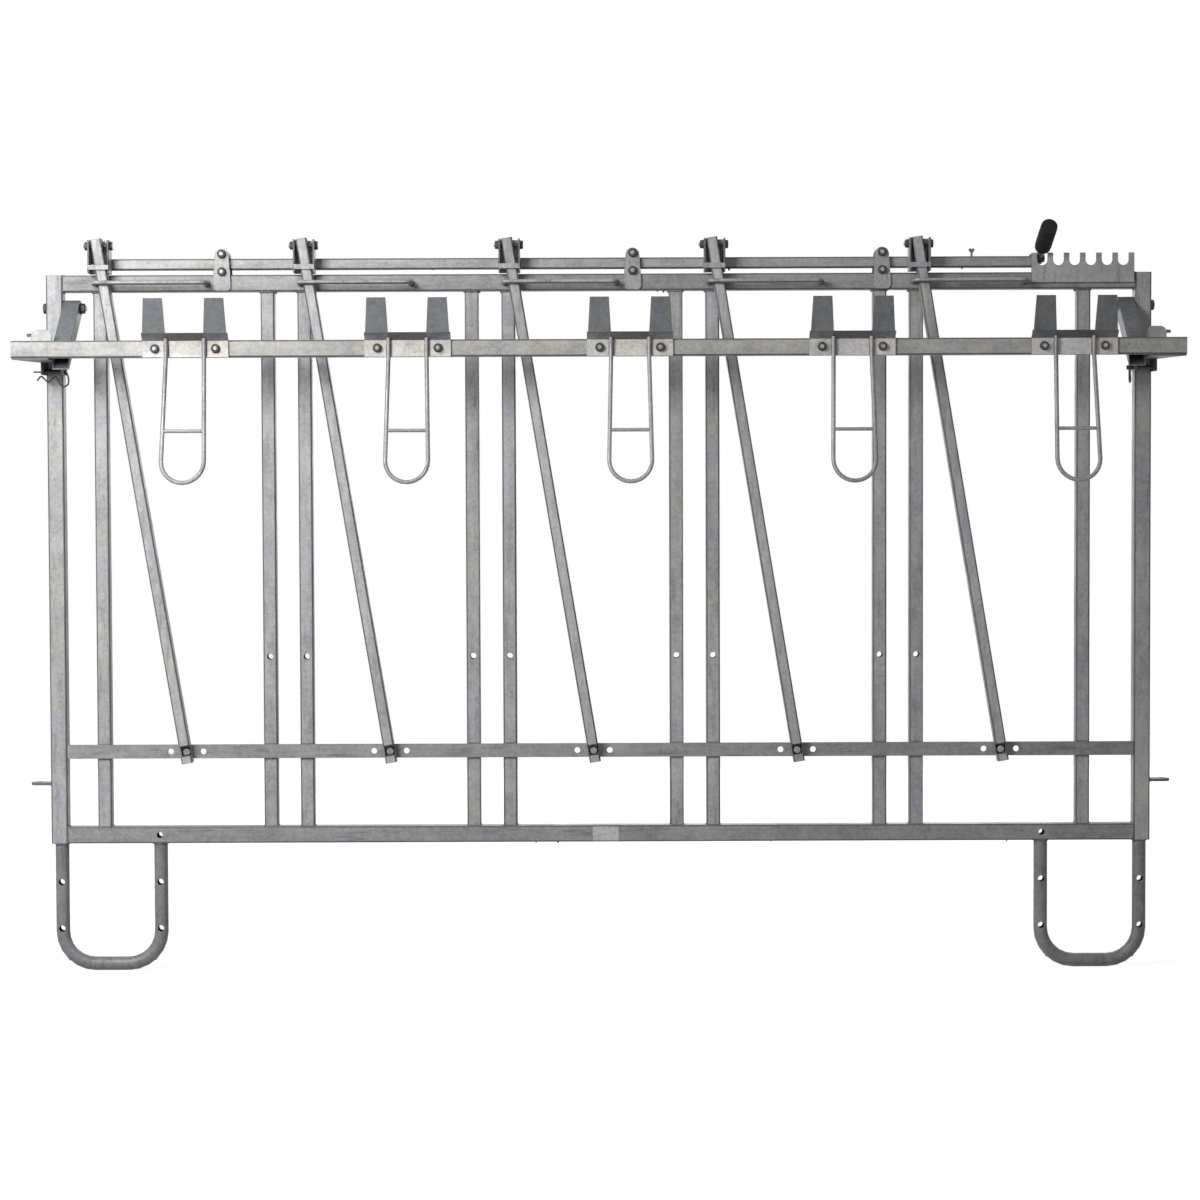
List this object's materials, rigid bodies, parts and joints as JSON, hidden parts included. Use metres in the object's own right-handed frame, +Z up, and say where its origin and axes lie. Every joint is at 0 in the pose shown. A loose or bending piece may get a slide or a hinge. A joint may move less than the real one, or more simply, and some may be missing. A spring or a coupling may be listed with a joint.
{
  "type": "calf headlock",
  "caption": "Galvanised calf feed front: a lever slides a control bar that tips the swing bars together, and a front rail with bucket holders folds up.",
  "frame": {"origin": "centre of the panel's box, at floor level under the feet", "axes": "+X along the panel to the right as seen from the feeding side, +Y towards the calves, +Z up"},
  "size_m": [2.076, 0.2342, 1.3529],
  "materials": {
    "galvanised_steel": "hot-dip galvanised, matt, mottled",
    "zinc_plated_steel": "zinc plated, satin",
    "spring_steel": "dark spring wire",
    "rubber_grip": "matt black"
  },
  "bodies": {
    "frame": {"left_post": "galvanised_steel", "right_post": "galvanised_steel", "top_rail": "galvanised_steel", "bottom_rail": "galvanised_steel", "lower_cross_bar": "galvanised_steel", "vertical_bar_01": "galvanised_steel", "vertical_bar_02": "galvanised_steel", "vertical_bar_03": "galvanised_steel", "vertical_bar_04": "galvanised_steel", "vertical_bar_05": "galvanised_steel", "vertical_bar_06": "galvanised_steel", "vertical_bar_07": "galvanised_steel", "vertical_bar_08": "galvanised_steel", "vertical_bar_09": "galvanised_steel", "vertical_bar_10": "galvanised_steel", "foot_left": "galvanised_steel", "foot_right": "galvanised_steel", "pivot_bolt_1": "zinc_plated_steel", "pivot_bolt_2": "zinc_plated_steel", "pivot_bolt_3": "zinc_plated_steel", "pivot_bolt_4": "zinc_plated_steel", "pivot_bolt_5": "zinc_plated_steel", "bearing_plate_1": "galvanised_steel", "bearing_plate_2": "galvanised_steel", "bearing_plate_3": "galvanised_steel", "notched_comb": "galvanised_steel", "arm_bolt_left": "zinc_plated_steel", "arm_bolt_right": "zinc_plated_steel"},
    "control_slider": {"control_bar": "galvanised_steel", "bar_stirrup_1": "galvanised_steel", "bar_stirrup_2": "galvanised_steel", "bar_stirrup_3": "galvanised_steel", "bar_stirrup_4": "galvanised_steel", "bar_stirrup_5": "galvanised_steel", "stirrup_bolt_1": "zinc_plated_steel", "stirrup_bolt_2": "zinc_plated_steel", "stirrup_bolt_3": "zinc_plated_steel", "stirrup_bolt_4": "zinc_plated_steel", "stirrup_bolt_5": "zinc_plated_steel", "handle_bolt": "zinc_plated_steel", "control_bar_screw": "zinc_plated_steel"},
    "swing_1": {"swing_bar_1": "galvanised_steel"},
    "swing_2": {"swing_bar_2": "galvanised_steel"},
    "swing_3": {"swing_bar_3": "galvanised_steel"},
    "swing_4": {"swing_bar_4": "galvanised_steel"},
    "swing_5": {"swing_bar_5": "galvanised_steel"},
    "handle": {"handle_lever": "galvanised_steel", "handle_grip": "rubber_grip"},
    "feed_rail": {"front_rail": "galvanised_steel", "rail_arm_left": "galvanised_steel", "rail_arm_right": "galvanised_steel", "bucket_holder_1": "galvanised_steel", "bucket_holder_2": "galvanised_steel", "bucket_holder_3": "galvanised_steel", "bucket_holder_4": "galvanised_steel", "bucket_holder_5": "galvanised_steel", "stop_pin_left": "zinc_plated_steel", "stop_pin_right": "zinc_plated_steel"},
    "clip_left": {"hairpin_clip_left": "spring_steel"},
    "clip_right": {"hairpin_clip_right": "spring_steel"}
  },
  "joints": [
    {"name": "control_slide", "type": "slide", "parent": "frame", "child": "control_slider", "axis": [1, 0, 0], "range_m": [0, 0.1465]},
    {"name": "swing_1_tip", "type": "hinge", "parent": "frame", "child": "swing_1", "pos_m": [-0.7515, 0.05887, 0.4015], "axis": [0, 1, 0], "range_deg": [0, 9.42]},
    {"name": "swing_2_tip", "type": "hinge", "parent": "frame", "child": "swing_2", "pos_m": [-0.382, 0.05887, 0.4015], "axis": [0, 1, 0], "range_deg": [0, 9.42]},
    {"name": "swing_3_tip", "type": "hinge", "parent": "frame", "child": "swing_3", "pos_m": [-0.0125, 0.05887, 0.4015], "axis": [0, 1, 0], "range_deg": [0, 9.42]},
    {"name": "swing_4_tip", "type": "hinge", "parent": "frame", "child": "swing_4", "pos_m": [0.357, 0.05887, 0.4015], "axis": [0, 1, 0], "range_deg": [0, 9.42]},
    {"name": "swing_5_tip", "type": "hinge", "parent": "frame", "child": "swing_5", "pos_m": [0.7265, 0.05887, 0.4015], "axis": [0, 1, 0], "range_deg": [0, 9.42]},
    {"name": "handle_lift", "type": "hinge", "parent": "control_slider", "child": "handle", "pos_m": [0.8015, 0.10617, 1.293], "axis": [-1, 0, 0], "range_deg": [-36.3, 40]},
    {"name": "feed_rail_fold", "type": "hinge", "parent": "frame", "child": "feed_rail", "pos_m": [0, 0.08717, 1.206], "axis": [-1, 0, 0], "range_deg": [0, 40]},
    {"name": "clip_left_pull", "type": "slide", "parent": "feed_rail", "child": "clip_left", "axis": [1, 0, 0], "range_m": [0, 0.056]},
    {"name": "clip_right_pull", "type": "slide", "parent": "feed_rail", "child": "clip_right", "axis": [0, 0, -1], "range_m": [0, 0.016]}
  ],
  "couplings": [
    {"joint": "swing_1_tip", "follows": "control_slide", "rad_per_m": 1.1223},
    {"joint": "swing_2_tip", "follows": "control_slide", "rad_per_m": 1.1223},
    {"joint": "swing_3_tip", "follows": "control_slide", "rad_per_m": 1.1223},
    {"joint": "swing_4_tip", "follows": "control_slide", "rad_per_m": 1.1223},
    {"joint": "swing_5_tip", "follows": "control_slide", "rad_per_m": 1.1223}
  ]
}
